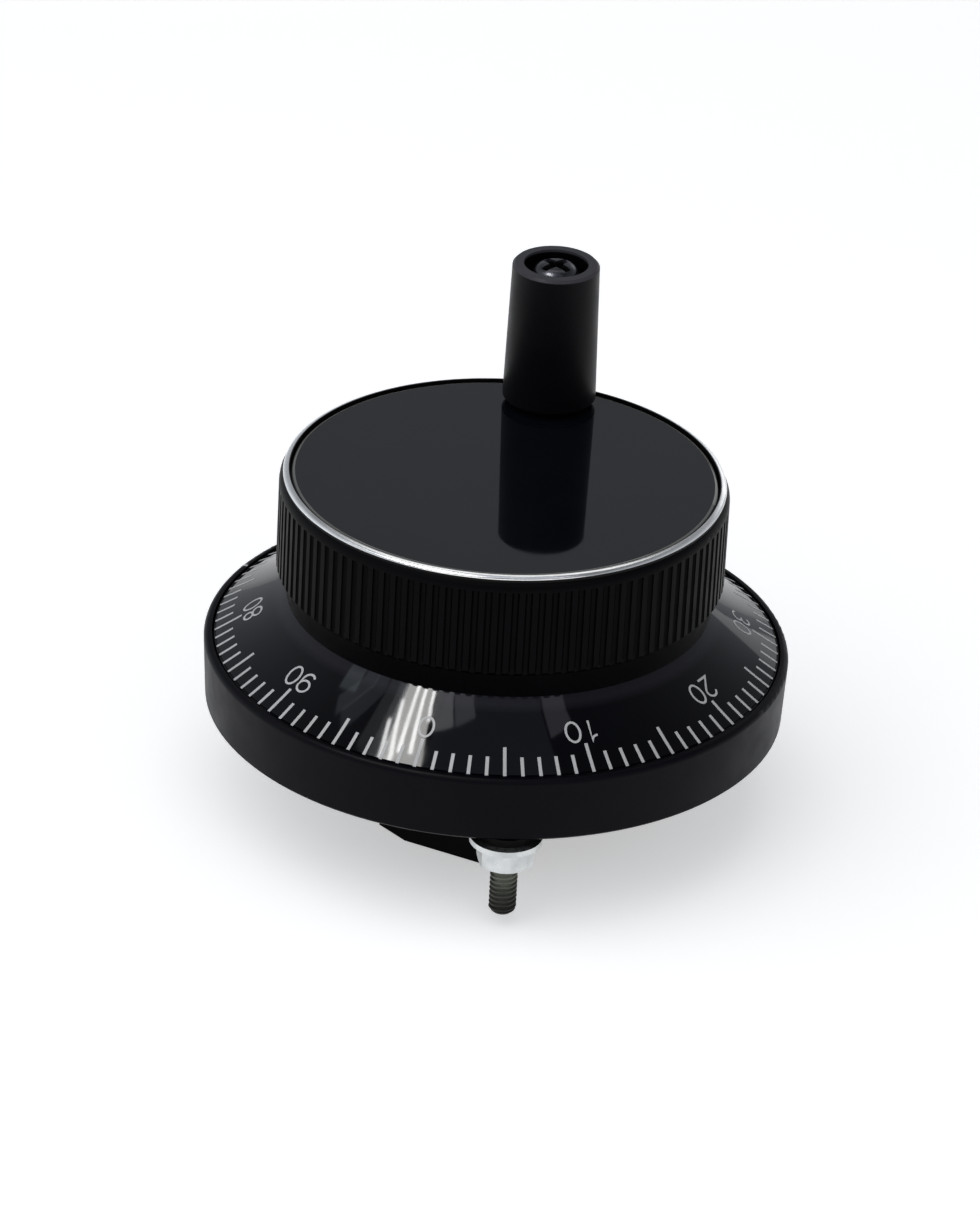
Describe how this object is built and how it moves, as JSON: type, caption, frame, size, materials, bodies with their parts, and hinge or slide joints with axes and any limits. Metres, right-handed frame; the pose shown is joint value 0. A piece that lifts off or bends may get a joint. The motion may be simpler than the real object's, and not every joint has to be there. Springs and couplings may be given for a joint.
{
  "type": "pulse generator handwheel",
  "caption": "Panel-mounted handwheel pulse generator: a graduated dial wheel with a ribbed grip and a spinning crank handle on a round housing with screw terminals.",
  "frame": {"origin": "centre of the bezel's rear face, on the wheel axis, in the plane of the panel's front face", "axes": "+Z along the wheel axis out of the panel towards the operator, +Y up the panel to the top of the dial (one stud is there), +X to the operator's right"},
  "size_m": [0.08, 0.0809, 0.0698],
  "materials": {
    "black_casting": "satin black powder coat",
    "black_moulding": "matt black moulding",
    "zinc_steel": "bright zinc plate",
    "board_green": "green solder mask",
    "chip_black": "black epoxy",
    "terminal_black": "black moulding",
    "contact_brass": "machined brass",
    "stud_steel": "dull rolled thread",
    "dark_steel": "black oxide",
    "bearing_steel": "ground",
    "ball_chrome": "polished",
    "spacer_aluminium": "turned",
    "magnet_nickel": "nickel plate",
    "soft_iron": "plain soft iron",
    "knob_black": "satin black grip",
    "dial_gloss": "gloss black with white graduations",
    "trim_aluminium": "bright diamond cut",
    "disc_gloss": "mirror gloss black",
    "code_steel": "etched sheet",
    "screw_dark": "bright head",
    "washer_nylon": "black nylon",
    "handle_black": "satin black handle"
  },
  "bodies": {
    "housing": {"bezel": "black_casting", "rear_cover": "black_moulding", "cover_screws": "zinc_steel", "circuit_board": "board_green", "board_components": "chip_black", "light_fork": "chip_black", "terminal_block": "terminal_black", "contact_plates": "contact_brass", "clamp_washers": "zinc_steel", "clamp_screws": "zinc_steel", "mounting_studs": "stud_steel", "spring_washers": "dark_steel", "flat_washers": "zinc_steel", "hex_nuts": "zinc_steel", "outer_races": "bearing_steel", "bearing_balls": "ball_chrome", "ball_cages": "contact_brass", "outer_spacer": "spacer_aluminium", "retaining_ring": "dark_steel", "detent_magnets": "magnet_nickel", "pole_shoes": "soft_iron", "pole_screws": "zinc_steel"},
    "wheel": {"knob_grip": "knob_black", "dial_ring": "dial_gloss", "trim_ring": "trim_aluminium", "top_disc": "disc_gloss", "shaft": "bearing_steel", "hub_washer": "zinc_steel", "hub_screw": "zinc_steel", "inner_races": "bearing_steel", "inner_spacer": "spacer_aluminium", "detent_rotor": "soft_iron", "dial_screws": "zinc_steel", "code_hub": "contact_brass", "code_disc": "code_steel", "disc_nut": "contact_brass", "handle_screw": "screw_dark", "foot_washer": "washer_nylon"},
    "handle": {"handle_grip": "handle_black"}
  },
  "joints": [
    {"name": "wheel_spin", "type": "hinge", "parent": "housing", "child": "wheel", "pos_m": [0, 0, 0.015], "axis": [0, 0, 1], "continuous": true},
    {"name": "handle_spin", "type": "hinge", "parent": "wheel", "child": "handle", "pos_m": [0.0236, 0.00536, 0.044], "axis": [0, 0, 1], "continuous": true}
  ]
}
